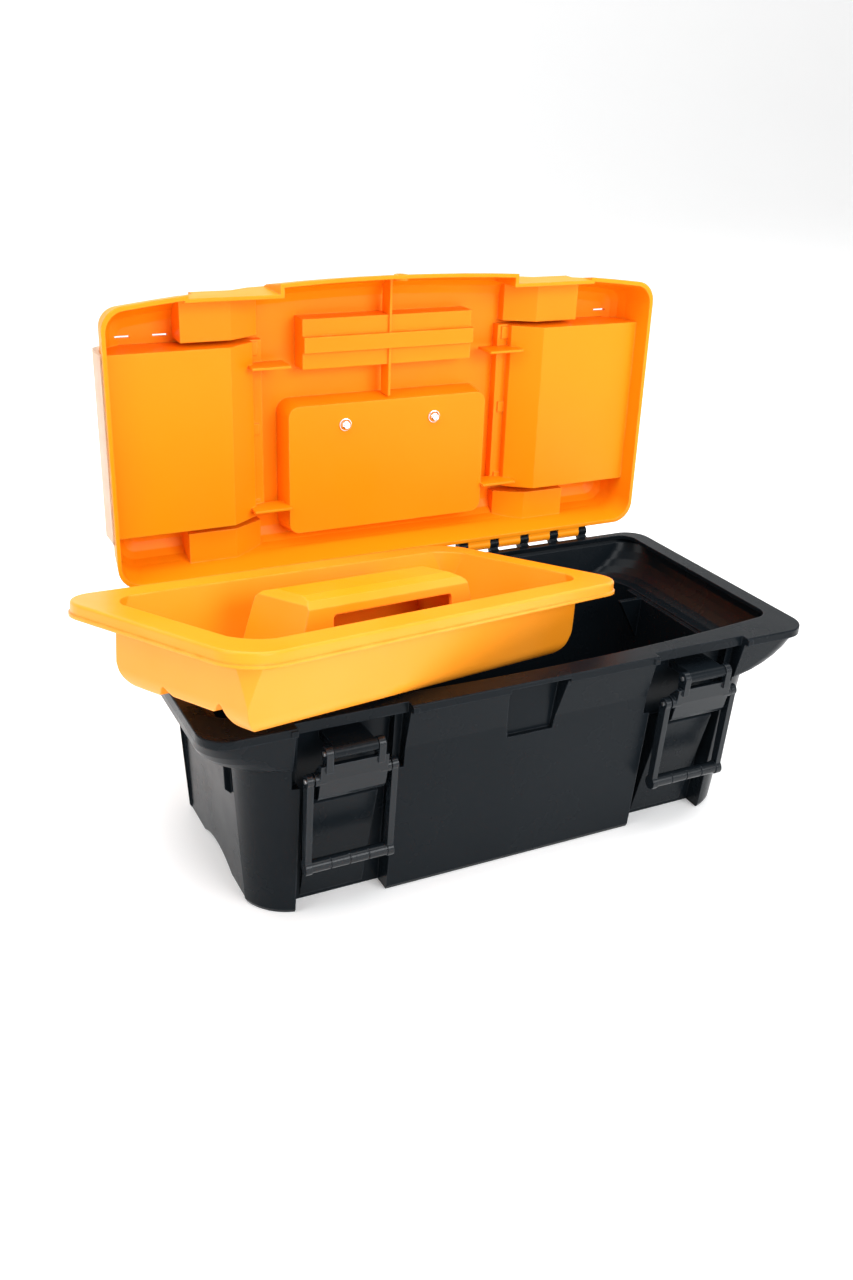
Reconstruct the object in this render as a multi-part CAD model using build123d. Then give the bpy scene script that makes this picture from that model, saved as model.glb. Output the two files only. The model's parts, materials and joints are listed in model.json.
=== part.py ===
from build123d import *
import math
import os

# A plastic toolbox with a lift-out tray, shown open.
# X runs along the length, the front faces -Y and +Z is up.
# The origin is on the floor plane, under the middle of the base. Millimetres.

# --- driving dimensions -------------------------------------------------------
WALL = 2.6                      # moulded wall of the base and the lid
RUN_GAP = 0.4                   # clearance between pieces that pass each other

# base tub
FOOT_HALF_L, FOOT_HALF_W = 182.0, 84.5      # outer half sizes at the floor
BODY_HALF_L, BODY_HALF_W = 187.0, 95.5      # outer half sizes under the flare
RIM_HALF_L, RIM_HALF_W = 214.0, 103.5       # outer half sizes at the rim
RIM_TOP = 143.0
RIM_THICK = 3.0                 # top flange that the lid lands on
BEAD_TALL = 5.5                 # rolled bead around the rim
BEAD_PROUD = 1.0
FLARE_BOTTOM = 110.0
FLARE_RISE = 24.0               # height over which the end ears curve outwards
FLOOR_UNDER = 9.0               # underside of the base floor, inside the skirt
FLOOR_THICK = 3.0
BODY_CORNER, RIM_CORNER = 36.0, 17.0
FOOT_EDGE = 1.3                 # chamfer around the bottom of the base

# front latch zones, finger pocket and end panels
ZONE_X = 124.5                  # centre of each recessed latch zone
ZONE_HALF = 31.0
WELL_HALF = 36.0
ZONE_DEPTH = 14.0
PANEL_DEPTH = 3.0
PANEL_HALF_W = 60.0
POCKET_TOP_HALF, POCKET_LOW_HALF = 21.5, 16.5
POCKET_LOW = 101.0

# hinge of the lid
HINGE_Y, HINGE_Z = 110.0, 147.0
KNUCKLE_R = 4.0
PIN_R = 1.5
HINGE_MID_X = 110.0             # middle of each group of knuckles
KNUCKLE_PITCH = 27.0
BASE_KNUCKLE_W = 7.0
OPEN_ANGLE = 90.0               # the lid stands on its stops at this angle

# lid
LID_GAP = 0.4                   # lid's rim above the base's rim
LID_HALF_L = 209.0
LID_REAR_Y = 105.4
LID_FRONT_Y = -97.0             # middle of the bowed front edge
LID_BOW = 14.0                  # how far the front edge falls back at the ends
LID_TALL = 42.0
LID_CORNER = 16.0
NOTCH_X, NOTCH_HALF, NOTCH_Y = 121.0, 31.0, -87.5   # front notches over the latches
CENTRE_PANEL = 19.3             # height of the handle well's floor over the rim plane
SIDE_PANEL = 12.0               # height of the organiser floors over the rim plane
PANEL_SKIN = 2.4

# carry handle and its bracket
WELL_HALF_L = 79.0
WELL_REAR_Y, WELL_FRONT_Y = 88.0, -7.0
SCREW_X, SCREW_Y = 35.5, 9.0
PIVOT_X, PIVOT_Y, PIVOT_RISE = 58.0, 9.0, 11.0
GRIP_Y = 70.0

# organisers in the lid
ORG_INNER_X, ORG_RAMP_X = 104.0, 124.0
ORG_END_X = 199.5
ORG_REAR_Y, ORG_FRONT_Y = 70.0, -50.0
CHANNEL_INNER_X, CHANNEL_RAMP_X, CHANNEL_OUTER_X = 99.0, 121.0, 151.0
CHANNEL_FLOOR = 22.0            # height of the latch channels over the rim plane
COVER_SKIN = 2.0
COVER_END_X = 208.5
COVER_REAR_Y, COVER_FRONT_Y = 75.0, -52.5
COVER_LOW = 10.4                # lower edge of the cover's skirt over the rim plane
COVER_AXIS_X = 99.0
COVER_PIN_R = 1.0

# latches
LATCH_X = 126.5                 # centre of each latch
PIVOT_LATCH_Y, PIVOT_LATCH_Z = -106.0, 124.0
BARREL_R, BARREL_HALF = 3.9, 14.0
BAIL_DROP = 18.0                # bail pins below the lever's pivot
BAIL_REACH = 63.0               # bail pins to the middle of its crossbar
BAIL_SET_BACK = 3.5             # bail pins behind the lever's pivot
BAIL_LEAN = 3.7                 # degrees that the hanging bail leans in
LEVER_HALF = 21.5
BAIL_HALF = 29.0
BAIL_ARM = 4.0

# tray
TRAY_HALF_L, TRAY_HALF_W = 169.0, 82.0
TRAY_FLANGE = 17.0
TRAY_DEPTH = 54.7
TRAY_WALL = 2.3
TRAY_SKIRT = 8.5
TRAY_CORNER = 24.0
TRAY_PLACE = (-87.2, -32.9, 190.4)          # middle of its rim, resting on the box
TRAY_TURN = (-6.4, 8.9, 21.6)               # about X, Y and Z


# --- helpers ------------------------------------------------------------------
def block(x0, x1, y0, y1, z0, z1):
    """A box between two corners."""
    return Pos((x0 + x1) / 2, (y0 + y1) / 2, (z0 + z1) / 2) * Box(x1 - x0, y1 - y0, z1 - z0)


def rounded_slab(half_l, half_w, radius, z0, z1, y_mid=0.0):
    """A flat slab with round corners."""
    return extrude(Pos(0, y_mid, z0) * RectangleRounded(2 * half_l, 2 * half_w, radius), z1 - z0)


def along_x(points, x0, x1):
    """A prism along X whose section is given as (y, z) points."""
    face = make_face(Polyline(*[(x0, y, z) for y, z in points], close=True))
    return extrude(face, amount=x1 - x0, dir=(1, 0, 0))


def along_y(points, y0, y1):
    """A prism along Y whose section is given as (x, z) points."""
    face = make_face(Polyline(*[(x, y0, z) for x, z in points], close=True))
    return extrude(face, amount=y1 - y0, dir=(0, 1, 0))


def rod_x(radius, x0, x1, y, z):
    """A round rod along X."""
    return Pos((x0 + x1) / 2, y, z) * Rot(0, 90, 0) * Cylinder(radius, x1 - x0)


def rod_y(radius, y0, y1, x, z):
    """A round rod along Y."""
    return Pos(x, (y0 + y1) / 2, z) * Rot(90, 0, 0) * Cylinder(radius, y1 - y0)


def rod_z(radius, z0, z1, x, y):
    """A round rod along Z."""
    return Pos(x, y, (z0 + z1) / 2) * Cylinder(radius, z1 - z0)


def loft_slabs(sections):
    """A solid through (half_l, half_w, radius, z) sections with round corners."""
    faces = [Pos(0, 0, z) * RectangleRounded(2 * a, 2 * b, r) for a, b, r, z in sections]
    return loft(faces, ruled=True)


def mirrored(shape):
    """The same shape on the other side of the middle."""
    return mirror(shape, about=Plane.YZ)


def both_sides(shape):
    """The shape and its mirror image."""
    return shape + mirrored(shape)


# --- base tub -----------------------------------------------------------------
def flare_sections(inset, lift):
    """Sections of the flare, from under it to the rim, with the ends curving out."""
    rows = []
    steps = 6
    for i in range(steps + 1):
        turn = math.radians(90.0 * i / steps)
        out = math.sin(turn)
        z = FLARE_BOTTOM + FLARE_RISE * (1 - math.cos(turn))
        share = (z - FLARE_BOTTOM) / (RIM_TOP - FLARE_BOTTOM)
        half_l = BODY_HALF_L + (RIM_HALF_L - BODY_HALF_L) * out
        half_w = BODY_HALF_W + (RIM_HALF_W - BODY_HALF_W) * share
        corner = BODY_CORNER + (RIM_CORNER - BODY_CORNER) * share
        rows.append((half_l - inset, half_w - inset, corner - inset, z + lift))
    return rows


def tub_block(inset, z_low, lift, z_high):
    """The base's filled outer form, inset by a wall, between two heights."""
    rows = [(FOOT_HALF_L - inset, FOOT_HALF_W - inset, BODY_CORNER - 2 - inset, z_low)]
    if inset == 0:
        edge = FOOT_EDGE
        rows = [(FOOT_HALF_L - edge, FOOT_HALF_W - edge, BODY_CORNER - 2 - edge, z_low),
                (FOOT_HALF_L, FOOT_HALF_W, BODY_CORNER - 2, z_low + 2 * edge)]
    rows += flare_sections(inset, lift)
    last_z = rows[-1][3]
    if z_high > last_z:
        rows.append((RIM_HALF_L - inset, RIM_HALF_W - inset, RIM_CORNER - inset, z_high))
    return loft_slabs(rows)


def front_y(z):
    """Where the base's front plane lies at a height, below the flare."""
    return -(FOOT_HALF_W + (BODY_HALF_W - FOOT_HALF_W) * z / FLARE_BOTTOM)


def end_x(z):
    """Where the base's end wall lies at a height, below the flare."""
    return FOOT_HALF_L + (BODY_HALF_L - FOOT_HALF_L) * z / FLARE_BOTTOM


def zone_prism(half, depth, z0, z1, grow=0.0):
    """The space in front of one latch zone's wall, on the right-hand side."""
    reach = -140.0
    low, high = front_y(z0) + depth, front_y(z1) + depth
    points = [(reach, z0), (low, z0), (high, z1), (reach, z1)]
    return along_x(points, ZONE_X - half - grow, ZONE_X + half + grow)


def end_prism(grow, z0, z1):
    """The space outside the recessed panel of the right-hand end wall."""
    depth = PANEL_DEPTH + grow
    points = [(end_x(z0) - depth, z0), (end_x(z1) - depth, z1), (260, z1), (260, z0)]
    return along_y(points, -PANEL_HALF_W - grow, PANEL_HALF_W + grow)


def pocket_prism(grow):
    """The finger pocket in the middle of the front, under the rim."""
    back = -91.0 + grow
    low, high = POCKET_LOW - grow, RIM_TOP - RIM_THICK
    outline = [
        (-POCKET_LOW_HALF - grow, low), (POCKET_LOW_HALF + grow, low),
        (POCKET_TOP_HALF + grow, high), (-POCKET_TOP_HALF - grow, high),
    ]
    return along_y(outline, -140.0, back)


def lid_outline(inset, z):
    """The lid's plan outline: straight back and ends, bowed front, round corners."""
    half, rear = LID_HALF_L - inset, LID_REAR_Y - inset
    corner_y, mid_y = LID_FRONT_Y + LID_BOW + inset, LID_FRONT_Y + inset
    back = Line((-half, rear), (half, rear))
    right = Line((half, rear), (half, corner_y))
    front = ThreePointArc((half, corner_y), (0, mid_y), (-half, corner_y))
    left = Line((-half, corner_y), (-half, rear))
    face = make_face([back, right, front, left])
    radius = max(LID_CORNER - inset * 0.6, 4.0)
    return Pos(0, 0, z) * fillet(face.vertices(), radius)


def latch_barrel():
    """The fixed barrel of one latch, with its web back to the wall."""
    barrel = rod_x(BARREL_R, LATCH_X - BARREL_HALF, LATCH_X + BARREL_HALF, PIVOT_LATCH_Y, PIVOT_LATCH_Z)
    web = block(LATCH_X - BARREL_HALF + 1, LATCH_X + BARREL_HALF - 1, PIVOT_LATCH_Y, -81,
                PIVOT_LATCH_Z - 2, PIVOT_LATCH_Z + BARREL_R)
    bore = rod_x(PIN_R, LATCH_X - 40, LATCH_X + 40, PIVOT_LATCH_Y, PIVOT_LATCH_Z)
    return barrel + web - bore


def latch_pad():
    """The raised pad under one lever, standing on the zone's wall."""
    top, low = 85.0, 3.0
    wall_low, wall_top = front_y(low) + ZONE_DEPTH, front_y(top) + ZONE_DEPTH
    points = [(wall_low + 1, low), (wall_low - 0.5, low), (wall_top - ZONE_DEPTH, top - 2),
              (wall_top - ZONE_DEPTH + 2, top), (wall_top + 1, top)]
    return along_x(points, LATCH_X - LEVER_HALF, LATCH_X + LEVER_HALF)


def base_knuckle(x):
    """One hinge knuckle on the base's back edge, with its bracket."""
    x0, x1 = x - BASE_KNUCKLE_W / 2, x + BASE_KNUCKLE_W / 2
    barrel = rod_x(KNUCKLE_R, x0, x1, HINGE_Y, HINGE_Z)
    bracket = along_x([(101, 137.5), (107, 137.5), (HINGE_Y + KNUCKLE_R, HINGE_Z),
                       (HINGE_Y, HINGE_Z), (105.8, 142.9), (101, 142.9)], x0, x1)
    return barrel + bracket


def lid_stop(x):
    """A post behind the hinge that the open lid stands on."""
    x0, x1 = x - BASE_KNUCKLE_W / 2, x + BASE_KNUCKLE_W / 2
    rest = HINGE_Z + (HINGE_Y - LID_REAR_Y) - 0.3
    points = [(104, 130), (HINGE_Y + KNUCKLE_R - 1, 141), (HINGE_Y + 11, rest - 5),
              (HINGE_Y + 11, rest), (HINGE_Y + KNUCKLE_R - 1, rest), (HINGE_Y + 1, HINGE_Z), (104, 140)]
    return along_x(points, x0, x1)


def tray_rib(y):
    """A gusset on the right-hand end wall that carries the tray when it is stowed."""
    top, inner = 111.0, TRAY_HALF_L - 7
    outer = end_x(top) + 1
    return along_y([(inner, top), (outer, top), (outer - 1, top - 34), (end_x(70) - 2, top - 38)], y - 2, y + 2)


def knuckle_places():
    """Middle X of each base knuckle in the right-hand group."""
    return [HINGE_MID_X + KNUCKLE_PITCH * i for i in (-2, -1, 0, 1, 2)]


def under_ribs():
    """Ribs under the raised floor, with a round pad in the middle that meets the ground."""
    ribs = rod_z(10, 0, FLOOR_UNDER + 0.5, 0, 0)
    ribs += block(-158, 158, -1.1, 1.1, 1.5, FLOOR_UNDER + 0.5)
    for x in (-120, -60, 0, 60, 120):
        ribs += block(x - 1.1, x + 1.1, -68, 80, 1.5, FLOOR_UNDER + 0.5)
    return ribs


def make_base_tub():
    """The black lower body: tapered walls, flared rim, latch zones, skirt and hinge knuckles."""
    outer = tub_block(0, 0, 0, RIM_TOP)
    bead = rounded_slab(RIM_HALF_L + BEAD_PROUD, RIM_HALF_W + BEAD_PROUD, RIM_CORNER + BEAD_PROUD,
                        RIM_TOP - BEAD_TALL, RIM_TOP)
    outer = outer + fillet(bead.edges().filter_by(GeomType.LINE, reverse=False).group_by(Axis.Z)[-1], 0.9)
    zone_top = RIM_TOP - BEAD_TALL - 1.5
    zone_cut = both_sides(zone_prism(ZONE_HALF, ZONE_DEPTH, -1, zone_top))
    well_cut = both_sides(zone_prism(WELL_HALF, 7.0, 96, zone_top))
    lip_cut = both_sides(block(ZONE_X - WELL_HALF, ZONE_X + WELL_HALF, -130, -98.5, zone_top - 1, RIM_TOP + 1))
    panel_cut = both_sides(end_prism(0, -1, FLARE_BOTTOM - 3))
    outer = outer - zone_cut - well_cut - lip_cut - panel_cut - pocket_prism(0)

    keep = both_sides(zone_prism(ZONE_HALF, ZONE_DEPTH + WALL, -2, RIM_TOP, WALL))
    keep += both_sides(zone_prism(WELL_HALF, 7.0 + WALL, 92, RIM_TOP, WALL))
    keep += both_sides(end_prism(WALL, -2, FLARE_BOTTOM + 1))
    keep += pocket_prism(WALL)
    inside = tub_block(WALL, FLOOR_UNDER + FLOOR_THICK, WALL, RIM_TOP - RIM_THICK)
    under = loft_slabs([(FOOT_HALF_L - WALL, FOOT_HALF_W - WALL, BODY_CORNER - 2 - WALL, -1),
                        (FOOT_HALF_L - WALL, FOOT_HALF_W - WALL, BODY_CORNER - 2 - WALL, FLOOR_UNDER)])
    mouth = extrude(lid_outline(7.0, RIM_TOP - RIM_THICK - 1), 5)
    tub = outer - (inside - keep) - (under - keep) - mouth

    arch = Pos(0, 0, -52) * Rot(0, 90, 0) * Cylinder(59.5, 500)
    arch = arch & block(-250, 250, -PANEL_HALF_W + 6, PANEL_HALF_W - 6, -1, 8)
    tub = tub - arch + under_ribs()
    for x in knuckle_places():
        tub += both_sides(base_knuckle(x))
    tub += both_sides(lid_stop(HINGE_MID_X))
    tub -= both_sides(rod_x(PIN_R, 40, 180, HINGE_Y, HINGE_Z))
    tub += both_sides(latch_barrel())
    tub += both_sides(latch_pad())
    tub += both_sides(tray_rib(-45)) + both_sides(tray_rib(45))
    for edge in (ZONE_X - WELL_HALF - 2, ZONE_X + WELL_HALF + 2):
        boss = block(edge - 2, edge + 2, -RIM_HALF_W - BEAD_PROUD - 1.2, -RIM_HALF_W + 1, RIM_TOP - 5, RIM_TOP - 1)
        tub += both_sides(boss)
    return tub


# --- lid ----------------------------------------------------------------------
def lid_block(inset, z_low, drop):
    """The lid's filled form, inset by a wall, with its rounded-over top."""
    base = RIM_TOP + LID_GAP
    rows = [(0.0, 0.0), (4.5, 28.0), (7.0, 35.0), (11.0, 39.5), (17.0, LID_TALL)]
    faces = []
    for slope_in, rise in rows:
        z = base + rise - (drop if rise > 0 else 0)
        if rise == 0.0:
            z = z_low
        faces.append(lid_outline(inset + slope_in, z))
    return loft(faces, ruled=True)


def handle_well(grow):
    """The space of the handle's well, open at the top of the lid."""
    floor = RIM_TOP + LID_GAP + CENTRE_PANEL + PANEL_SKIN - grow
    slope = 3.0
    low = Pos(0, (WELL_REAR_Y + WELL_FRONT_Y) / 2, floor) * RectangleRounded(
        2 * (WELL_HALF_L + grow - slope), WELL_REAR_Y - WELL_FRONT_Y + 2 * (grow - slope), 8)
    high = Pos(0, (WELL_REAR_Y + WELL_FRONT_Y) / 2, RIM_TOP + LID_TALL + 6) * RectangleRounded(
        2 * (WELL_HALF_L + grow), WELL_REAR_Y - WELL_FRONT_Y + 2 * grow, 10)
    return loft([low, high], ruled=True)


def organiser_space(grow):
    """The space of the right-hand organiser, with its sloping inner side."""
    floor = RIM_TOP + LID_GAP + SIDE_PANEL + PANEL_SKIN - grow
    top = RIM_TOP + LID_TALL + 6
    end = 230 if grow > 0 else ORG_END_X
    points = [(ORG_INNER_X - grow, top), (ORG_INNER_X - grow, floor + 14), (ORG_RAMP_X - grow, floor),
              (end, floor), (end, top)]
    return along_y(points, ORG_FRONT_Y - grow, ORG_REAR_Y + grow)


def channel_space(grow, y0, y1):
    """The space of a channel pressed into the top, in line with the right-hand latch."""
    floor = RIM_TOP + LID_GAP + CHANNEL_FLOOR - grow
    top = RIM_TOP + LID_TALL + 6
    inner, outer = CHANNEL_INNER_X - grow, CHANNEL_OUTER_X + grow
    points = [(inner, top), (inner, floor + 12), (CHANNEL_RAMP_X - grow, floor), (outer, floor), (outer, top)]
    return along_y(points, y0 - grow, y1 + grow)


def latch_channels(grow):
    """The right-hand channels in front of and behind the organiser."""
    front = channel_space(grow, LID_FRONT_Y - 20, ORG_FRONT_Y - 8)
    return front + channel_space(grow, ORG_REAR_Y + 10, LID_REAR_Y + 20)


def hinge_trough(grow):
    """The groove in the top that the right-hand cover's barrels lie in."""
    z = organiser_axis_z() - 3.4 - grow
    return block(COVER_AXIS_X - 3.4 - grow, ORG_INNER_X + 4, ORG_FRONT_Y - grow, ORG_REAR_Y + grow, z, z + 20)


def front_step(y0, y1, z0):
    """A long shallow step pressed into the lid's top near the front."""
    return block(-66, 66, y0, y1, z0, RIM_TOP + LID_TALL + 6)


def front_notch(inset):
    """The set-back in the lid's front edge over the right-hand latch."""
    return block(NOTCH_X - NOTCH_HALF - inset, NOTCH_X + NOTCH_HALF + inset, -120, NOTCH_Y + inset,
                 RIM_TOP - 2, RIM_TOP + LID_TALL + 6)


def latch_catch():
    """The raised lip at the channel's mouth that the bail's crossbar hooks over."""
    z = RIM_TOP + LID_GAP + CHANNEL_FLOOR
    return along_x([(NOTCH_Y, z - 6), (NOTCH_Y, z + 2.6), (NOTCH_Y + 0.8, z + 3.4), (NOTCH_Y + 2.2, z + 3.4),
                    (NOTCH_Y + 3.4, z - 1), (NOTCH_Y + 3.4, z - 2)], NOTCH_X - 18, NOTCH_X + 24)


def lid_knuckle(x):
    """One hinge knuckle under the lid's back edge."""
    half = (KNUCKLE_PITCH - BASE_KNUCKLE_W) / 2 - RUN_GAP
    barrel = rod_x(KNUCKLE_R, x - half, x + half, HINGE_Y, HINGE_Z)
    web = along_x([(LID_REAR_Y - 2, RIM_TOP + LID_GAP + 0.2), (HINGE_Y - 2, HINGE_Z - 3.4), (HINGE_Y, HINGE_Z),
                   (HINGE_Y - 1, HINGE_Z + 3.6), (LID_REAR_Y - 2, HINGE_Z + 8)], x - half, x + half)
    return barrel + web


def lid_ribs():
    """Thin cross ribs and posts that stiffen the lid from inside."""
    low, top = RIM_TOP + LID_GAP + 14, RIM_TOP + LID_GAP + LID_TALL - 9
    ribs = []
    for y in (66.0, -36.0):
        ribs.append(block(WELL_HALF_L - 1, ORG_INNER_X + 2, y - 0.9, y + 0.9, low, top))
    ribs.append(block(-0.9, 0.9, LID_FRONT_Y + 1, WELL_FRONT_Y - 1, low + 8, top + 2))
    return ribs


def organiser_lug(y0, y1):
    """A lug on the lid that holds the organiser's hinge pin."""
    z = organiser_axis_z()
    return block(COVER_AXIS_X - 2.8, COVER_AXIS_X + 3.2, y0, y1, z - 7, z + 2.6)


def organiser_axis_z():
    """Height of the organiser covers' hinge axis."""
    return RIM_TOP + LID_GAP + LID_TALL - 4.2


def cover_outline(shrink):
    """Points over the right-hand cover's top and down its end, a distance inside its outer face."""
    top, end = RIM_TOP + LID_GAP + LID_TALL - shrink, COVER_END_X - shrink
    low = RIM_TOP + LID_GAP + COVER_LOW
    return [(198.0, top), (203.5, top - 1.4), (end - 1.2, top - 5.0), (end, top - 10.5), (end, low)]


def make_lid():
    """The orange lid: bowed front, handle well, two organisers, latch channels and knuckles."""
    base = RIM_TOP + LID_GAP
    top = base + LID_TALL + 10
    outer = lid_block(0, base, 0)
    outer -= both_sides(front_notch(0))
    keep = handle_well(PANEL_SKIN)
    for space in (organiser_space, latch_channels, hinge_trough):
        keep += both_sides(space(PANEL_SKIN))
    keep += both_sides(front_notch(WALL))
    keep += front_step(-66, -31, base + 24) + front_step(-54, -43, base + 20)
    hollow = lid_block(WALL, base - 1, WALL)
    lid = outer - (hollow - keep)
    lid -= handle_well(0)
    steps = front_step(-64, -33, base + 27) + front_step(-51, -46, base + 23)
    lid -= steps & block(-63, 63, -80, 0, base, top)
    lid -= both_sides(latch_channels(0)) + both_sides(organiser_space(0))

    # the rebate that the cover closes over
    gap = 0.3
    low = base + COVER_LOW - gap
    outline = cover_outline(COVER_SKIN + gap)
    start, end = ORG_INNER_X + 3.1, outline[-1][0]
    around = [(start, top), (start, outline[0][1])] + outline[:-1] + [(end, low), (240, low), (240, top)]
    rebate = along_y(around, COVER_FRONT_Y - gap, COVER_REAR_Y + gap)
    lid -= both_sides(rebate) + both_sides(hinge_trough(0))
    axis_z = organiser_axis_z()
    middle = (ORG_FRONT_Y + ORG_REAR_Y) / 2
    lid += both_sides(organiser_lug(ORG_FRONT_Y - 1, ORG_FRONT_Y + 8))
    lid += both_sides(organiser_lug(middle - 4, middle + 4))
    lid += both_sides(organiser_lug(ORG_REAR_Y - 8, ORG_REAR_Y + 1))
    lid -= both_sides(rod_y(COVER_PIN_R, ORG_FRONT_Y, ORG_REAR_Y, COVER_AXIS_X, axis_z))

    lid += both_sides(latch_catch())
    for shape in lid_ribs():
        lid += both_sides(shape & hollow)
    places = knuckle_places()
    for left, right in zip(places, places[1:]):
        lid += both_sides(lid_knuckle((left + right) / 2))
    lid -= both_sides(rod_x(PIN_R + 0.06, 40, 180, HINGE_Y, HINGE_Z))
    for x in knuckle_places():
        room = block(x - BASE_KNUCKLE_W / 2 - RUN_GAP, x + BASE_KNUCKLE_W / 2 + RUN_GAP,
                     LID_REAR_Y + 0.01, HINGE_Y + 10, base, base + 12)
        lid -= both_sides(room)

    # padlock boss in the middle of the front, and the two screw holes
    lid += rod_y(5.0, LID_FRONT_Y + 1, LID_FRONT_Y + 4.5, 0, base + 7)
    lid -= rod_y(2.6, LID_FRONT_Y - 4, LID_FRONT_Y + 8, 0, base + 7)
    lid -= both_sides(rod_z(1.9, base, base + 30, SCREW_X, SCREW_Y))
    for x in (161.5, 187.0):
        slot = block(x - 5, x + 5, ORG_FRONT_Y - 8.6, ORG_FRONT_Y - 7.2, base + 25, top)
        lid -= both_sides(slot)
    return lid


# --- handle -------------------------------------------------------------------
def well_floor():
    """Height of the handle well's floor."""
    return RIM_TOP + LID_GAP + CENTRE_PANEL + PANEL_SKIN


def make_handle_bracket():
    """The black bracket screwed into the well, with two ears for the handle's pins."""
    z0 = well_floor()
    plate = rounded_slab(66, 9.5, 4, z0, z0 + 3, PIVOT_Y)
    bracket = plate
    pivot_z = z0 + PIVOT_RISE
    for side in (-1, 1):
        ear = block(side * PIVOT_X - 3, side * PIVOT_X + 3, PIVOT_Y - 6, PIVOT_Y + 6, z0, pivot_z)
        ear += rod_x(6, side * PIVOT_X - 3, side * PIVOT_X + 3, PIVOT_Y, pivot_z)
        bracket += ear
        boss = rod_z(5, z0, z0 + 8, side * SCREW_X, SCREW_Y)
        bracket += boss
        bracket -= rod_z(1.6, z0 - 1, z0 + 7, side * SCREW_X, SCREW_Y)
        bracket -= rod_x(2.0, side * PIVOT_X - 20, side * PIVOT_X + 20, PIVOT_Y, pivot_z)
    return bracket


def make_carry_handle():
    """The folding carry handle: two arms and a rounded grip, folded towards the back."""
    pivot_z = well_floor() + PIVOT_RISE
    z0, z1 = pivot_z - 6, pivot_z + 6.5
    arms = None
    for side in (-1, 1):
        inner, outer = sorted((side * (PIVOT_X + 3.4), side * (PIVOT_X + 12.4)))
        arm = block(inner, outer, PIVOT_Y, GRIP_Y, z0, z1) + rod_x(6.2, inner, outer, PIVOT_Y, pivot_z)
        arms = arm if arms is None else arms + arm
    grip = block(-PIVOT_X - 12.4, PIVOT_X + 12.4, GRIP_Y - 10, GRIP_Y + 12, z0, z1 + 2)
    grip = fillet(grip.edges().filter_by(Axis.X), 5.5)
    handle = arms + grip
    for i in range(-3, 4):
        handle -= block(i * 12 - 1.2, i * 12 + 1.2, GRIP_Y - 11, GRIP_Y - 8.8, z0, z1 + 3)
    for side in (-1, 1):
        x0, x1 = sorted((side * (PIVOT_X + 3.3), side * (PIVOT_X + 20)))
        handle -= rod_x(2.06, x0, x1, PIVOT_Y, pivot_z)
    return handle


def make_handle_pin(side):
    """A steel pin through one handle arm and its bracket ear."""
    x0, x1 = sorted((side * (PIVOT_X - 3), side * (PIVOT_X + 12.0)))
    return rod_x(2.0, x0, x1, PIVOT_Y, well_floor() + PIVOT_RISE)


def make_handle_screws():
    """Two dome-headed screws driven from inside the lid into the bracket."""
    under = RIM_TOP + LID_GAP + CENTRE_PANEL
    screws = []
    for side in (-1, 1):
        x = side * SCREW_X
        washer = rod_z(4.6, under - 0.9, under, x, SCREW_Y)
        dome = Pos(x, SCREW_Y, under - 0.9) * Sphere(4.0) & block(
            x - 5, x + 5, SCREW_Y - 5, SCREW_Y + 5, under - 4.1, under - 0.9)
        shank = rod_z(1.6, under - 1, well_floor() + 7, x, SCREW_Y)
        cross = block(x - 0.5, x + 0.5, SCREW_Y - 2.2, SCREW_Y + 2.2, under - 6, under - 3.6)
        cross += block(x - 2.2, x + 2.2, SCREW_Y - 0.5, SCREW_Y + 0.5, under - 6, under - 3.6)
        screws.append(washer + dome + shank - cross)
    return Compound(children=screws)


# --- organiser covers ---------------------------------------------------------
def make_organiser_cover():
    """The right-hand see-through cover: top plate, rolled end skirt and two hinge barrels."""
    axis_z = organiser_axis_z()
    start = ORG_INNER_X + 3.4
    outer, inner = cover_outline(0), cover_outline(COVER_SKIN)
    shell = along_y([(start, outer[0][1])] + outer + inner[::-1] + [(start, inner[0][1])],
                    COVER_FRONT_Y, COVER_REAR_Y)
    lip = along_y([(198.0, inner[0][1] - 12)] + outer + [(198.0, outer[-1][1])], COVER_FRONT_Y, COVER_REAR_Y)
    lip -= block(190, 230, COVER_FRONT_Y + COVER_SKIN, COVER_REAR_Y - COVER_SKIN, 140, 200)
    cover = shell + (lip - lid_block(-0.4, RIM_TOP, -0.4))
    middle = (ORG_FRONT_Y + ORG_REAR_Y) / 2
    for y0, y1 in ((ORG_FRONT_Y + 8.5, middle - 4.5), (middle + 4.5, ORG_REAR_Y - 8.5)):
        cover += rod_y(2.5, y0, y1, COVER_AXIS_X, axis_z)
        cover += block(COVER_AXIS_X, ORG_INNER_X + 6, y0, y1, axis_z + 0.6, axis_z + 2.5)
        cover += block(ORG_INNER_X + 2.4, ORG_INNER_X + 6, y0, y1, axis_z + 0.6, axis_z + 4.2)
    return cover - rod_y(COVER_PIN_R + 0.05, ORG_FRONT_Y, ORG_REAR_Y, COVER_AXIS_X, axis_z)


def make_organiser_pin():
    """The right-hand cover's steel hinge pin."""
    return rod_y(COVER_PIN_R, ORG_FRONT_Y + 1, ORG_REAR_Y - 1, COVER_AXIS_X, organiser_axis_z())


# --- latches ------------------------------------------------------------------
def link_axis():
    """Where the bail's pin crosses the lever, as (y, z)."""
    return PIVOT_LATCH_Y + BAIL_SET_BACK, PIVOT_LATCH_Z - BAIL_DROP


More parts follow.
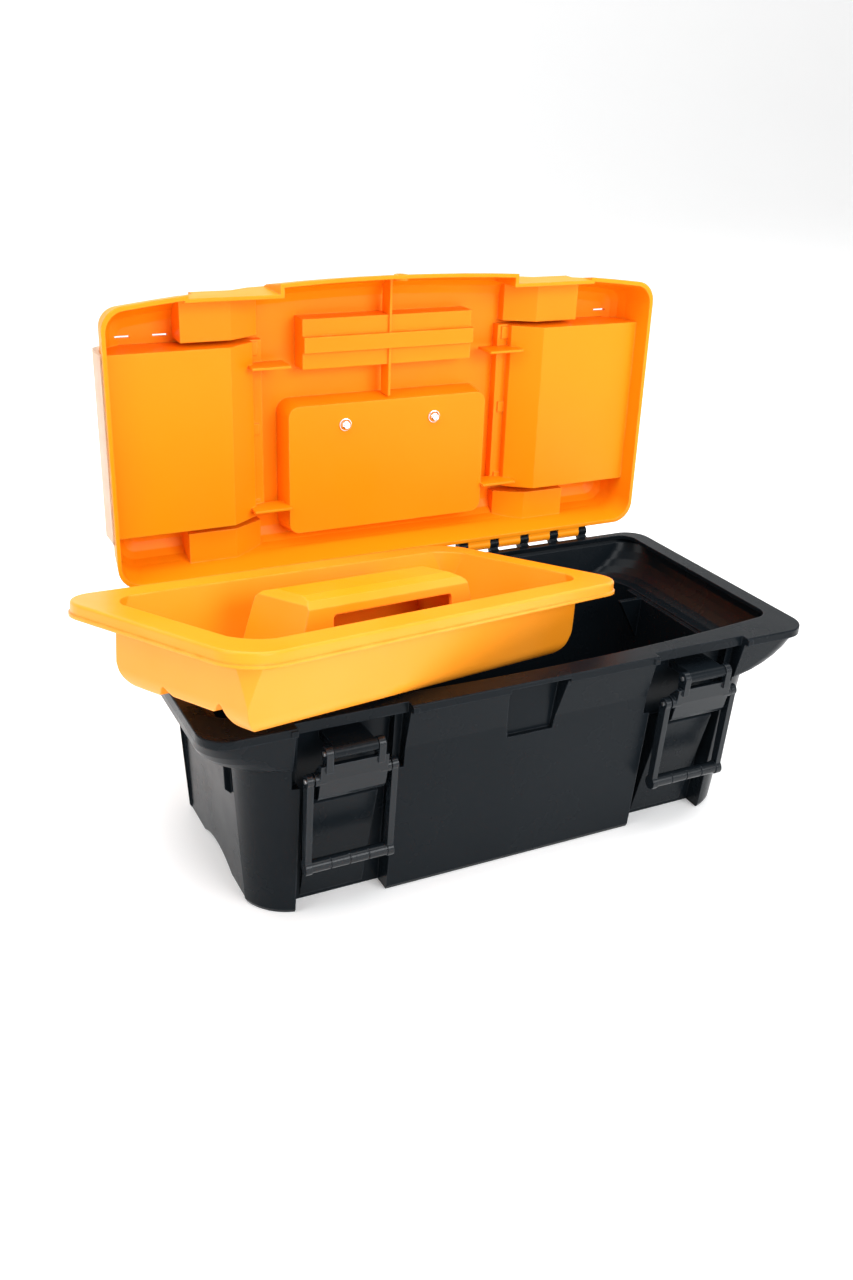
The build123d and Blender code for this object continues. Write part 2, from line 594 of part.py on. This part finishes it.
def make_latch_lever():
    """The right-hand lever: two ears on its pin, and a plate below that carries the bail's pin."""
    py, pz = PIVOT_LATCH_Y, PIVOT_LATCH_Z
    qy, qz = link_axis()
    plate_low = 91.0
    side = [(py - 2.4, pz - 7.5), (py + 1.2, pz - 7.5), (qy + 3.6, qz + 4), (qy + 4.2, plate_low + 1),
            (qy + 3.2, plate_low), (qy + 0.6, plate_low), (qy - 1.4, plate_low + 3), (qy - 4.4, qz)]
    lever = along_x(side, LATCH_X - LEVER_HALF, LATCH_X + LEVER_HALF)
    relief = [(qy - 0.4, qz - 8), (qy + 1.6, qz - 13), (qy + 6, qz - 13), (qy + 6, qz - 2), (qy + 1, qz)]
    lever -= along_x(relief, LATCH_X - LEVER_HALF + 2.5, LATCH_X + LEVER_HALF - 2.5)
    for out in (-1, 1):
        x0, x1 = sorted((LATCH_X + out * (BARREL_HALF + RUN_GAP), LATCH_X + out * (BARREL_HALF + 4.6)))
        lever += rod_x(4.3, x0, x1, py, pz)
        lever += along_x([(py - 4.3, pz), (py + 4.3, pz), (py + 3.2, pz - 12), (py - 3.4, pz - 12)], x0, x1)
        lever -= rod_x(PIN_R + 0.06, x0 - 1, x1 + 1, py, pz)
        x0, x1 = sorted((LATCH_X + out * (LEVER_HALF - 4), LATCH_X + out * (LEVER_HALF + 2.6)))
        lever += rod_x(4.4, x0, x1, qy, qz)
    return lever - rod_x(PIN_R, LATCH_X - 40, LATCH_X + 40, qy, qz)


def make_latch_bail():
    """The right-hand bail: two arms on the lever's cross pin and a grooved crossbar below."""
    qy, qz = link_axis()
    low = qz - BAIL_REACH
    bail = rod_x(4.2, LATCH_X - BAIL_HALF + 1, LATCH_X + BAIL_HALF - 1, qy, low)
    bail += block(LATCH_X - BAIL_HALF + 1, LATCH_X + BAIL_HALF - 1, qy - 1.6, qy + 4.2, low - 2.5, low + 2)
    for i in (-1, 0, 1):
        x = LATCH_X + i * 12.5
        groove = rod_x(6, x - 0.5, x + 0.5, qy, low) - rod_x(3.5, x - 0.5, x + 0.5, qy, low)
        bail -= groove & block(x - 1, x + 1, qy - 7, qy - 1.6, low - 7, low + 7)
    for out in (-1, 1):
        x0, x1 = sorted((LATCH_X + out * (BAIL_HALF - BAIL_ARM), LATCH_X + out * BAIL_HALF))
        bail += along_x([(qy - 2.5, low), (qy + 3.0, low), (qy + 3.6, qz), (qy - 3.2, qz)], x0, x1)
        bail += rod_x(3.9, x0, x1, qy, qz) + rod_x(4.9, x0, x1, qy, low)
    bail -= rod_x(PIN_R + 0.06, LATCH_X - 40, LATCH_X + 40, qy, qz)
    return lean_in(bail)


def lean_in(shape):
    """Turn a bail about its pin so that its crossbar leans towards the wall."""
    qy, qz = link_axis()
    return Pos(0, qy, qz) * Rot(BAIL_LEAN, 0, 0) * Pos(0, -qy, -qz) * shape


def make_latch_pin():
    """The right-hand lever's steel pin, through both ears and the barrel."""
    reach = BARREL_HALF + 5.4
    return rod_x(PIN_R, LATCH_X - reach, LATCH_X + reach, PIVOT_LATCH_Y, PIVOT_LATCH_Z)


def make_link_pin():
    """The right-hand bail's steel pin, through both bail arms and the lever."""
    reach = BAIL_HALF + 0.8
    return rod_x(PIN_R, LATCH_X - reach, LATCH_X + reach, *link_axis())


# --- tray ---------------------------------------------------------------------
def tray_lobes(inset, deep):
    """The tray's cross-section run along X: sloping walls and three lobes along the bottom."""
    top_w = TRAY_HALF_W - TRAY_FLANGE - inset
    low_w, low = top_w - 12, -TRAY_DEPTH + deep
    middle, rear = low + 9, low + 6
    front_dip, rear_dip = -34.0, 15.0
    half = 5.0 + inset * 0.7
    bends = [(front_dip - half - 1, low), (front_dip, low + 17), (front_dip + half + 2, middle),
             (rear_dip - half - 2, middle), (rear_dip, low + 14), (rear_dip + half + 2, rear)]
    across = along_x([(-top_w, 4), (-low_w, low)] + bends + [(low_w, rear), (top_w, 4)], -260, 260)
    shoulders = [bends[0], bends[2], bends[3], bends[5]]
    dips = [bends[1], bends[4]]
    corners = [(-low_w, low), (low_w, rear)]
    for places, radius in ((shoulders, 3.0), (dips, 2.0), (corners, 12.0 - 1.6 * inset)):
        middles = [(e, e.center()) for e in across.edges().filter_by(Axis.X)]
        chosen = [e for e, c in middles if any(abs(c.Y - y) + abs(c.Z - z) < 0.01 for y, z in places)]
        across = fillet(chosen, radius)
    return across


def tray_form(inset, deep):
    """The tray's filled body: tapered sides, round corners and a lobed underside."""
    top_l, top_w = TRAY_HALF_L - TRAY_FLANGE - inset, TRAY_HALF_W - TRAY_FLANGE - inset
    low_l, low = top_l - 10, -TRAY_DEPTH + deep
    across = tray_lobes(inset, deep)
    along = along_y([(-top_l, 4), (-low_l, low), (low_l, low), (top_l, 4)], -150, 150)
    along = fillet(along.edges().filter_by(Axis.Y).group_by(Axis.Z)[0], 19.0 - inset)
    plan = extrude(Pos(0, 0, low - 5) * RectangleRounded(2 * top_l, 2 * top_w, 27 - inset), -low + 20)
    return across & along & plan


def tray_handle(inset, top):
    """The broad hump along the middle of the tray, with steep ends and rounded shoulders."""
    low = -60
    side = [(-88 + inset, low), (-71 + inset, top - 4), (-66 + inset, top), (64 - inset, top),
            (70 - inset, top - 4), (86 - inset, low)]
    half = 23.0 - inset
    section = [(-half - 4, low), (-half, top - 6), (-half + 4, top - 2), (-half + 12, top), (half - 12, top),
               (half - 4, top - 2), (half, top - 6), (half + 4, low)]
    return along_y(side, -60, 60) & along_x(section, -130, 130)


def tray_body():
    """The tray in its own place: rim plane at zero, middle at the origin."""
    flange = rounded_slab(TRAY_HALF_L, TRAY_HALF_W, TRAY_CORNER, -2.6, 0)
    flange = fillet(flange.faces().sort_by(Axis.Z)[-1].edges(), 1.6)
    skirt = rounded_slab(TRAY_HALF_L, TRAY_HALF_W, TRAY_CORNER, -TRAY_SKIRT, -2)
    skirt += rounded_slab(TRAY_HALF_L + 0.9, TRAY_HALF_W + 0.9, TRAY_CORNER + 0.9, -TRAY_SKIRT, -TRAY_SKIRT + 2)
    skirt -= rounded_slab(TRAY_HALF_L - 2.2, TRAY_HALF_W - 2.2, TRAY_CORNER - 2.2, -TRAY_SKIRT - 1, -1)
    hump = tray_handle(0, 5.0) & block(-130, 130, -60, 60, -TRAY_DEPTH + 8, 20)
    body = (tray_form(0, 0) & block(-200, 200, -120, 120, -80, -0.5)) + flange + skirt
    body -= tray_form(TRAY_WALL, TRAY_WALL)
    body += hump - tray_handle(TRAY_WALL, 5.0 - TRAY_WALL)
    # hollow under the hump, and the grip slot right through it
    grip = along_y([(-52, -21), (54, -21), (54, -6), (-52, -6)], -60, 60)
    grip = fillet(grip.edges().filter_by(Axis.Y), 3.0)
    body -= grip & block(-100, 100, -40, 40, -40, 20)
    for x in (-78.0, 121.0):
        body -= block(x - 9, x + 9, -75, -62.2, -44, -18)
    return body


def tray_location():
    """The tray's resting place: turned about X, then Y, then Z, then moved."""
    tilt_x, tilt_y, turn_z = TRAY_TURN
    return Pos(*TRAY_PLACE) * Rot(0, 0, turn_z) * Rot(0, tilt_y, 0) * Rot(tilt_x, 0, 0)


# --- opening the lid ----------------------------------------------------------
def opened(shape):
    """Turn a piece of the closed lid about the hinge to the open position."""
    swing = Pos(0, HINGE_Y, HINGE_Z) * Rot(-OPEN_ANGLE, 0, 0) * Pos(0, -HINGE_Y, -HINGE_Z)
    return swing * shape


def write(name, shape):
    """Save one sub-part."""
    export_step(shape, "parts/" + name + ".step")


def main():
    """Build every sub-part and save it."""
    os.makedirs("parts", exist_ok=True)
    write("base_tub", make_base_tub())
    pin = rod_x(PIN_R, 53, 167, HINGE_Y, HINGE_Z)
    write("hinge_pin_right", pin)
    write("hinge_pin_left", mirrored(pin))

    write("lid_shell", opened(make_lid()))
    write("handle_bracket", opened(make_handle_bracket()))
    write("carry_handle", opened(make_carry_handle()))
    write("handle_pin_right", opened(make_handle_pin(1)))
    write("handle_pin_left", opened(make_handle_pin(-1)))
    write("handle_screws", opened(make_handle_screws()))

    cover, cover_pin = make_organiser_cover(), make_organiser_pin()
    lever, bail = make_latch_lever(), make_latch_bail()
    latch_pin, link_pin = make_latch_pin(), make_link_pin()
    for side, place in (("right", lambda s: s), ("left", mirrored)):
        write("organiser_cover_" + side, opened(place(cover)))
        write("organiser_pin_" + side, opened(place(cover_pin)))
        write("latch_lever_" + side, place(lever))
        write("latch_bail_" + side, place(bail))
        write("latch_pin_" + side, place(latch_pin))
        write("latch_link_pin_" + side, place(link_pin))

    write("tray", tray_location() * tray_body())


main()
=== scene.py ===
import bpy
import bmesh
import json
import math
from mathutils import Matrix, Vector


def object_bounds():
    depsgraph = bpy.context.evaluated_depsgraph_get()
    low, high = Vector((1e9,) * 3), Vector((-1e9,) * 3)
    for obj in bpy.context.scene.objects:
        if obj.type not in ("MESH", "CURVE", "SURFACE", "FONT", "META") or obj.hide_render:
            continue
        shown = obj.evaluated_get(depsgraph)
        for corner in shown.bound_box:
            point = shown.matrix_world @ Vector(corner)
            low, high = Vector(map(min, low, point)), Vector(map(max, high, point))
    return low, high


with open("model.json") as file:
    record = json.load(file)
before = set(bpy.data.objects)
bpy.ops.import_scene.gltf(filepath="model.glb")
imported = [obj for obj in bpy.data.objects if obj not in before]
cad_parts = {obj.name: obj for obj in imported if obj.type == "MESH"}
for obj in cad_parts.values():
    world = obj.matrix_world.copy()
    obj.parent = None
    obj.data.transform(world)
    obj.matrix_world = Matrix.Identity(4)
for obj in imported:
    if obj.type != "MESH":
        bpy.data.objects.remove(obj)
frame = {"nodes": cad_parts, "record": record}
cad_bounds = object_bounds()

# --- camera, in metres and degrees --------------------------------------------------
CAMERA_PLACE = Vector((-0.3813, -0.6886, 0.4878))
CAMERA_YAW = 27.17        # turned from +Y towards +X
CAMERA_PITCH = 24.8       # looking down
CAMERA_ROLL = 2.19
LENS_MM = 35.34           # on a 36 mm sensor along the picture's long side

# --- finishes, as linear colours --------------------------------------------------
ORANGE = (0.97, 0.298, 0.003)
ORANGE_WARM = (0.96, 0.280, 0.002)
ORANGE_EDGE = (1.0, 0.56, 0.09)
TRAY_ORANGE = (0.98, 0.335, 0.022)
BLACK = (0.0042, 0.0064, 0.0086)
BLACK_WARM = (0.0060, 0.0084, 0.0108)
BLACK_EDGE = (0.050, 0.060, 0.074)
LATCH_BLACK = (0.006, 0.009, 0.012)
COVER_TINT, COVER_HAZE = (1.0, 0.80, 0.58), (0.98, 0.72, 0.46)
FLOOR_GLOW = 0.16         # keeps the backdrop white and its shadows soft


# --- material helpers ---------------------------------------------------------------
def new_material(name):
    """A material with nodes, and its tree and shader."""
    material = bpy.data.materials.new(name)
    material.use_nodes = True
    tree = material.node_tree
    return material, tree, tree.nodes["Principled BSDF"]


def noise(tree, scale, detail, roughness=0.5):
    """A noise texture in the object's own coordinates."""
    where = tree.nodes.new("ShaderNodeTexCoord")
    texture = tree.nodes.new("ShaderNodeTexNoise")
    texture.inputs["Scale"].default_value = scale
    texture.inputs["Detail"].default_value = detail
    texture.inputs["Roughness"].default_value = roughness
    tree.links.new(where.outputs["Object"], texture.inputs["Vector"])
    return texture


def remap(tree, value, low, high, to_low, to_high):
    """Stretch a value from one range to another."""
    node = tree.nodes.new("ShaderNodeMapRange")
    node.inputs["From Min"].default_value = low
    node.inputs["From Max"].default_value = high
    node.inputs["To Min"].default_value = to_low
    node.inputs["To Max"].default_value = to_high
    tree.links.new(value, node.inputs["Value"])
    return node.outputs["Result"]


def mix_colour(tree, share, first, second):
    """Blend two colours, either of which may be a socket."""
    node = tree.nodes.new("ShaderNodeMix")
    node.data_type = "RGBA"
    tree.links.new(share, node.inputs["Factor"])
    for socket, colour in ((node.inputs["A"], first), (node.inputs["B"], second)):
        if isinstance(colour, bpy.types.NodeSocket):
            tree.links.new(colour, socket)
        else:
            socket.default_value = (*colour, 1.0)
    return node.outputs["Result"]


def soft_edges(tree, radius):
    """A normal that rounds sharp edges off by a radius."""
    node = tree.nodes.new("ShaderNodeBevel")
    node.samples = 4
    node.inputs["Radius"].default_value = radius
    return node.outputs["Normal"]


def edge_mask(tree, radius, low, high):
    """One near sharp edges and zero on flat surfaces."""
    rounded = soft_edges(tree, radius)
    geometry = tree.nodes.new("ShaderNodeNewGeometry")
    product = tree.nodes.new("ShaderNodeVectorMath")
    product.operation = "DOT_PRODUCT"
    tree.links.new(rounded, product.inputs[0])
    tree.links.new(geometry.outputs["Normal"], product.inputs[1])
    return remap(tree, product.outputs["Value"], high, low, 0.0, 1.0)


def moulded_plastic(name, colour, warm, edge, rough, sheen, grain, grain_depth, edge_radius, wear):
    """Injection-moulded plastic: fine grain, slow colour drift between two colours and paler worn edges."""
    material, tree, shader = new_material(name)
    shader.inputs["Specular IOR Level"].default_value = sheen
    drift = noise(tree, 7.0, 3.0)
    base = mix_colour(tree, remap(tree, drift.outputs["Fac"], 0.35, 0.65, 0.0, 1.0), colour, warm)
    scuffs = noise(tree, 60.0, 6.0, 0.65)
    worn = tree.nodes.new("ShaderNodeMath")
    worn.operation = "MULTIPLY"
    tree.links.new(edge_mask(tree, edge_radius * 1.5, 0.80, 0.995), worn.inputs[0])
    tree.links.new(remap(tree, scuffs.outputs["Fac"], 0.35, 0.7, 0.0, wear), worn.inputs[1])
    tree.links.new(mix_colour(tree, worn.outputs["Value"], base, edge), shader.inputs["Base Color"])
    patches = noise(tree, 22.0, 4.0, 0.6)
    tree.links.new(remap(tree, patches.outputs["Fac"], 0.3, 0.7, rough - 0.05, rough + 0.06),
                   shader.inputs["Roughness"])
    fine = noise(tree, grain, 2.0)
    bump = tree.nodes.new("ShaderNodeBump")
    bump.inputs["Strength"].default_value = grain_depth
    bump.inputs["Distance"].default_value = 0.0004
    tree.links.new(fine.outputs["Fac"], bump.inputs["Height"])
    tree.links.new(soft_edges(tree, edge_radius), bump.inputs["Normal"])
    tree.links.new(bump.outputs["Normal"], shader.inputs["Normal"])
    return material


def orange_plastic():
    """The lid's satin orange polypropylene."""
    return moulded_plastic("orange_plastic", ORANGE, ORANGE_WARM, ORANGE_EDGE, rough=0.42, sheen=0.16,
                           grain=900.0, grain_depth=0.10, edge_radius=0.0012, wear=0.5)


def tray_plastic():
    """The tray's orange, a touch yellower and glossier than the lid."""
    return moulded_plastic("tray_plastic", TRAY_ORANGE, ORANGE, ORANGE_EDGE, rough=0.34, sheen=0.28,
                           grain=900.0, grain_depth=0.08, edge_radius=0.0014, wear=0.6)


def black_plastic():
    """The base's satin black polypropylene."""
    return moulded_plastic("black_plastic", BLACK, BLACK_WARM, BLACK_EDGE, rough=0.25, sheen=0.085,
                           grain=1100.0, grain_depth=0.12, edge_radius=0.0010, wear=0.5)


def latch_plastic():
    """The latches' black plastic, smoother than the base."""
    return moulded_plastic("latch_plastic", LATCH_BLACK, BLACK_WARM, BLACK_EDGE, rough=0.22, sheen=0.26,
                           grain=1400.0, grain_depth=0.10, edge_radius=0.0006, wear=0.8)


def handle_plastic():
    """The carry handle's grained black plastic."""
    return moulded_plastic("handle_plastic", BLACK, BLACK_WARM, BLACK_EDGE, rough=0.46, sheen=0.25,
                           grain=700.0, grain_depth=0.35, edge_radius=0.0010, wear=0.6)


def cover_clear():
    """The organiser covers' frosted translucent plastic."""
    material, tree, shader = new_material("cover_clear")
    haze = noise(tree, 35.0, 4.0)
    share = remap(tree, haze.outputs["Fac"], 0.3, 0.7, 0.0, 1.0)
    tint = mix_colour(tree, share, COVER_TINT, COVER_HAZE)
    tree.links.new(tint, shader.inputs["Base Color"])
    tree.links.new(remap(tree, haze.outputs["Fac"], 0.3, 0.7, 0.30, 0.42), shader.inputs["Roughness"])
    shader.inputs["Transmission Weight"].default_value = 0.75
    shader.inputs["IOR"].default_value = 1.46
    fine = noise(tree, 1200.0, 2.0)
    bump = tree.nodes.new("ShaderNodeBump")
    bump.inputs["Strength"].default_value = 0.12
    bump.inputs["Distance"].default_value = 0.0003
    tree.links.new(fine.outputs["Fac"], bump.inputs["Height"])
    tree.links.new(soft_edges(tree, 0.0008), bump.inputs["Normal"])
    tree.links.new(bump.outputs["Normal"], shader.inputs["Normal"])
    return material


def metal(name, colour, dull, rough, streak):
    """Bare or plated steel with fine drawn streaks and slight tarnish."""
    material, tree, shader = new_material(name)
    shader.inputs["Metallic"].default_value = 1.0
    tarnish = noise(tree, 90.0, 5.0)
    tree.links.new(mix_colour(tree, remap(tree, tarnish.outputs["Fac"], 0.4, 0.7, 0.0, 1.0), colour, dull),
                   shader.inputs["Base Color"])
    fine = noise(tree, streak, 3.0)
    tree.links.new(remap(tree, fine.outputs["Fac"], 0.3, 0.7, rough, rough + 0.12), shader.inputs["Roughness"])
    bump = tree.nodes.new("ShaderNodeBump")
    bump.inputs["Strength"].default_value = 0.08
    bump.inputs["Distance"].default_value = 0.0002
    tree.links.new(fine.outputs["Fac"], bump.inputs["Height"])
    tree.links.new(soft_edges(tree, 0.0003), bump.inputs["Normal"])
    tree.links.new(bump.outputs["Normal"], shader.inputs["Normal"])
    return material


def pin_steel():
    """Plain steel wire of the hinge and latch pins."""
    return metal("pin_steel", (0.55, 0.56, 0.58), (0.38, 0.38, 0.39), 0.26, 1500.0)


def screw_chrome():
    """Bright plated screws."""
    return metal("screw_chrome", (0.86, 0.86, 0.87), (0.62, 0.62, 0.63), 0.12, 1200.0)


def paint_nodes():
    """Give every CAD node the material of its slot in the record."""
    makers = {
        "black_plastic": black_plastic, "orange_plastic": orange_plastic, "tray_plastic": tray_plastic,
        "handle_plastic": handle_plastic, "latch_plastic": latch_plastic, "cover_clear": cover_clear,
        "pin_steel": pin_steel, "screw_chrome": screw_chrome,
    }
    finished = {slot: make() for slot, make in makers.items()}
    for part in frame["record"]["subparts"]:
        node = frame["nodes"][part["node"]]
        node.data.materials.clear()
        node.data.materials.append(finished[part["material_slot"]])


# --- studio ---------------------------------------------------------------------------
def make_floor():
    """A pale floor that curves up into a backdrop far behind the object."""
    half, back, bend, top, steps = 9.0, 3.0, 1.2, 5.0, 24
    profile = [(-4.0, 0.0), (back, 0.0)]
    for i in range(1, steps + 1):
        turn = math.radians(90.0 * i / steps)
        profile.append((back + bend * math.sin(turn), bend * (1 - math.cos(turn))))
    profile.append((back + bend, top))
    mesh = bmesh.new()
    rows = [[mesh.verts.new((x, y, z)) for x in (-half, half)] for y, z in profile]
    for low, high in zip(rows, rows[1:]):
        mesh.faces.new((low[0], low[1], high[1], high[0]))
    data = bpy.data.meshes.new("floor")
    mesh.to_mesh(data)
    mesh.free()
    for face in data.polygons:
        face.use_smooth = True
    floor = bpy.data.objects.new("floor", data)
    floor.location.z = cad_bounds[0][2] - 0.0002
    bpy.context.scene.collection.objects.link(floor)
    material, tree, shader = new_material("floor_paint")
    mottle = noise(tree, 3.0, 3.0)
    tree.links.new(mix_colour(tree, mottle.outputs["Fac"], (0.93, 0.93, 0.93), (0.95, 0.95, 0.95)),
                   shader.inputs["Base Color"])
    shader.inputs["Roughness"].default_value = 0.7
    shader.inputs["Emission Color"].default_value = (1.0, 1.0, 1.0, 1.0)
    shader.inputs["Emission Strength"].default_value = FLOOR_GLOW
    data.materials.append(material)


def area_light(name, place, target, size, power, colour):
    """A soft rectangular light aimed at a point."""
    data = bpy.data.lights.new(name, "AREA")
    data.shape = "RECTANGLE"
    data.size, data.size_y = size
    data.energy = power
    data.color = colour
    light = bpy.data.objects.new(name, data)
    light.location = place
    light.rotation_euler = (Vector(target) - Vector(place)).to_track_quat("-Z", "Y").to_euler()
    bpy.context.scene.collection.objects.link(light)


def make_lights():
    """Overhead softbox, a light from the left and a broad fill from the front, in a bright room."""
    middle = (0.0, 0.0, 0.15)
    area_light("overhead", (0.1, 0.1, 2.2), middle, (2.6, 2.6), 60.0, (1.0, 1.0, 1.0))
    area_light("key_left", (-2.0, -0.5, 1.3), middle, (1.2, 1.4), 17.0, (1.0, 1.0, 1.0))
    area_light("fill_front", (0.8, -2.4, 1.2), middle, (1.8, 1.2), 48.0, (0.96, 0.98, 1.0))
    world = bpy.data.worlds.new("room")
    world.use_nodes = True
    world.node_tree.nodes["Background"].inputs["Color"].default_value = (1.0, 1.0, 1.0, 1.0)
    world.node_tree.nodes["Background"].inputs["Strength"].default_value = 0.62
    bpy.context.scene.world = world


def make_camera():
    """The camera at the photograph's place, turn and lens."""
    yaw, pitch, roll = (math.radians(a) for a in (CAMERA_YAW, CAMERA_PITCH, CAMERA_ROLL))
    ahead = Vector((math.sin(yaw) * math.cos(pitch), math.cos(yaw) * math.cos(pitch), -math.sin(pitch)))
    level = Vector((math.cos(yaw), -math.sin(yaw), 0.0))
    upright = level.cross(ahead)
    right = math.cos(roll) * level + math.sin(roll) * upright
    up = -math.sin(roll) * level + math.cos(roll) * upright
    data = bpy.data.cameras.new("camera")
    data.lens = LENS_MM
    data.sensor_width = 36.0
    data.clip_start = 0.02
    camera = bpy.data.objects.new("camera", data)
    camera.matrix_world = Matrix((
        (right.x, up.x, -ahead.x, CAMERA_PLACE.x),
        (right.y, up.y, -ahead.y, CAMERA_PLACE.y),
        (right.z, up.z, -ahead.z, CAMERA_PLACE.z),
        (0.0, 0.0, 0.0, 1.0),
    ))
    bpy.context.scene.collection.objects.link(camera)
    bpy.context.scene.camera = camera


paint_nodes()
make_floor()
make_lights()
make_camera()
bpy.context.scene.view_settings.view_transform = "Standard"
